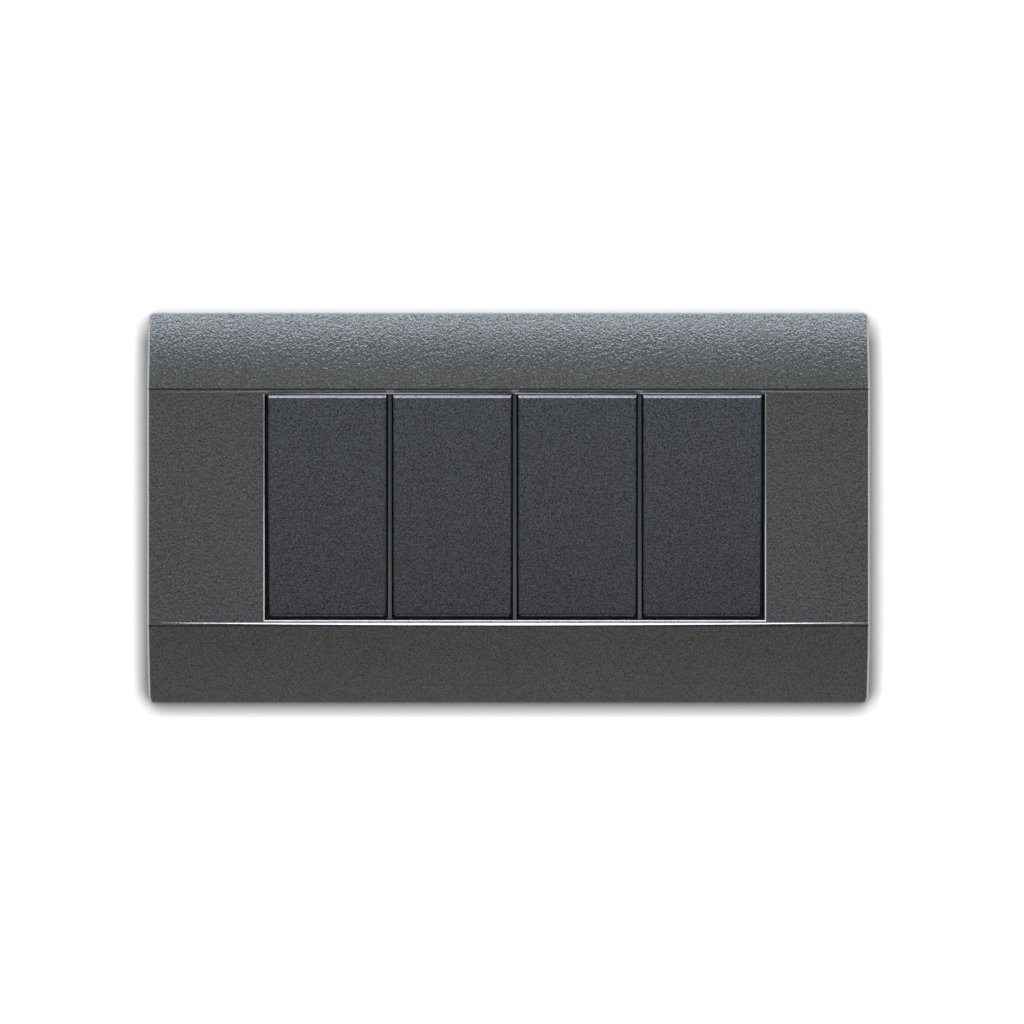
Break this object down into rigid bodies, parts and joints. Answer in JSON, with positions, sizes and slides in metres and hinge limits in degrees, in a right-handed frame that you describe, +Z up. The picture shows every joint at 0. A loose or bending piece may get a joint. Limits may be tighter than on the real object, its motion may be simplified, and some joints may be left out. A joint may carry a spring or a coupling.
{
  "type": "rocker switch wall plate",
  "caption": "Wall switch plate with side-by-side blank rocker keys, rolled metallic bands above and below, and the switch modules behind it.",
  "frame": {"origin": "on the wall plane, midway between the two box screws", "axes": "+X to the right as seen by the user, +Y into the wall along the box screws, +Z up"},
  "size_m": [0.1447, 0.0367, 0.0782],
  "materials": {
    "plate_finish": "fine-grained metallic anthracite, satin, bright bevels",
    "key_plastic": "anthracite, fine metallic speckle, satin",
    "frame_plastic": "dark grey moulded",
    "body_plastic": "black moulded",
    "inner_plastic": "natural moulded",
    "copper_alloy": "bright rolled",
    "zinc_steel": "zinc plated",
    "spring_steel": "drawn wire"
  },
  "bodies": {
    "plate": {"cover_plate": "plate_finish", "mounting_frame": "frame_plastic", "box_screws": "zinc_steel", "housing_1": "body_plastic", "base_1": "body_plastic", "common_terminal_1": "copper_alloy", "upper_terminal_1": "copper_alloy", "lower_terminal_1": "copper_alloy", "clamp_plates_1": "zinc_steel", "clamp_screws_1": "zinc_steel", "housing_2": "body_plastic", "base_2": "body_plastic", "common_terminal_2": "copper_alloy", "upper_terminal_2": "copper_alloy", "lower_terminal_2": "copper_alloy", "clamp_plates_2": "zinc_steel", "clamp_screws_2": "zinc_steel", "housing_3": "body_plastic", "base_3": "body_plastic", "common_terminal_3": "copper_alloy", "upper_terminal_3": "copper_alloy", "lower_terminal_3": "copper_alloy", "clamp_plates_3": "zinc_steel", "clamp_screws_3": "zinc_steel", "housing_4": "body_plastic", "base_4": "body_plastic", "common_terminal_4": "copper_alloy", "upper_terminal_4": "copper_alloy", "lower_terminal_4": "copper_alloy", "clamp_plates_4": "zinc_steel", "clamp_screws_4": "zinc_steel"},
    "rocker_1": {"key_1": "key_plastic", "spring_1": "spring_steel"},
    "plunger_body_1": {"plunger_1": "inner_plastic"},
    "blade_body_1": {"blade_1": "copper_alloy"},
    "rocker_2": {"key_2": "key_plastic", "spring_2": "spring_steel"},
    "plunger_body_2": {"plunger_2": "inner_plastic"},
    "blade_body_2": {"blade_2": "copper_alloy"},
    "rocker_3": {"key_3": "key_plastic", "spring_3": "spring_steel"},
    "plunger_body_3": {"plunger_3": "inner_plastic"},
    "blade_body_3": {"blade_3": "copper_alloy"},
    "rocker_4": {"key_4": "key_plastic", "spring_4": "spring_steel"},
    "plunger_body_4": {"plunger_4": "inner_plastic"},
    "blade_body_4": {"blade_4": "copper_alloy"}
  },
  "joints": [
    {"name": "key_hinge_1", "type": "hinge", "parent": "plate", "child": "rocker_1", "pos_m": [-0.0375, -0.0046, 0], "axis": [-1, 0, 0], "range_deg": [0, 4]},
    {"name": "plunger_slide_1", "type": "slide", "parent": "rocker_1", "child": "plunger_body_1", "axis": [0, -0.9994, -0.0349], "range_m": [0, 0.0006], "stiffness_N_per_m": 200, "springref_m": -0.001, "deforming": ["spring_1"]},
    {"name": "blade_hinge_1", "type": "hinge", "parent": "plate", "child": "blade_body_1", "pos_m": [-0.0375, 0.0079, 0], "axis": [1, 0, 0], "range_deg": [0, 16]},
    {"name": "key_hinge_2", "type": "hinge", "parent": "plate", "child": "rocker_2", "pos_m": [-0.0125, -0.0046, 0], "axis": [-1, 0, 0], "range_deg": [0, 4]},
    {"name": "plunger_slide_2", "type": "slide", "parent": "rocker_2", "child": "plunger_body_2", "axis": [0, -0.9994, -0.0349], "range_m": [0, 0.0006], "stiffness_N_per_m": 200, "springref_m": -0.001, "deforming": ["spring_2"]},
    {"name": "blade_hinge_2", "type": "hinge", "parent": "plate", "child": "blade_body_2", "pos_m": [-0.0125, 0.0079, 0], "axis": [1, 0, 0], "range_deg": [0, 16]},
    {"name": "key_hinge_3", "type": "hinge", "parent": "plate", "child": "rocker_3", "pos_m": [0.0125, -0.0046, 0], "axis": [-1, 0, 0], "range_deg": [0, 4]},
    {"name": "plunger_slide_3", "type": "slide", "parent": "rocker_3", "child": "plunger_body_3", "axis": [0, -0.9994, -0.0349], "range_m": [0, 0.0006], "stiffness_N_per_m": 200, "springref_m": -0.001, "deforming": ["spring_3"]},
    {"name": "blade_hinge_3", "type": "hinge", "parent": "plate", "child": "blade_body_3", "pos_m": [0.0125, 0.0079, 0], "axis": [1, 0, 0], "range_deg": [0, 16]},
    {"name": "key_hinge_4", "type": "hinge", "parent": "plate", "child": "rocker_4", "pos_m": [0.0375, -0.0046, 0], "axis": [-1, 0, 0], "range_deg": [0, 4]},
    {"name": "plunger_slide_4", "type": "slide", "parent": "rocker_4", "child": "plunger_body_4", "axis": [0, -0.9994, -0.0349], "range_m": [0, 0.0006], "stiffness_N_per_m": 200, "springref_m": -0.001, "deforming": ["spring_4"]},
    {"name": "blade_hinge_4", "type": "hinge", "parent": "plate", "child": "blade_body_4", "pos_m": [0.0375, 0.0079, 0], "axis": [1, 0, 0], "range_deg": [0, 16]}
  ],
  "couplings": [
    {"joint": "blade_hinge_1", "follows": "key_hinge_1", "ratio": 3.99},
    {"joint": "blade_hinge_2", "follows": "key_hinge_2", "ratio": 3.99},
    {"joint": "blade_hinge_3", "follows": "key_hinge_3", "ratio": 3.99},
    {"joint": "blade_hinge_4", "follows": "key_hinge_4", "ratio": 3.99}
  ]
}
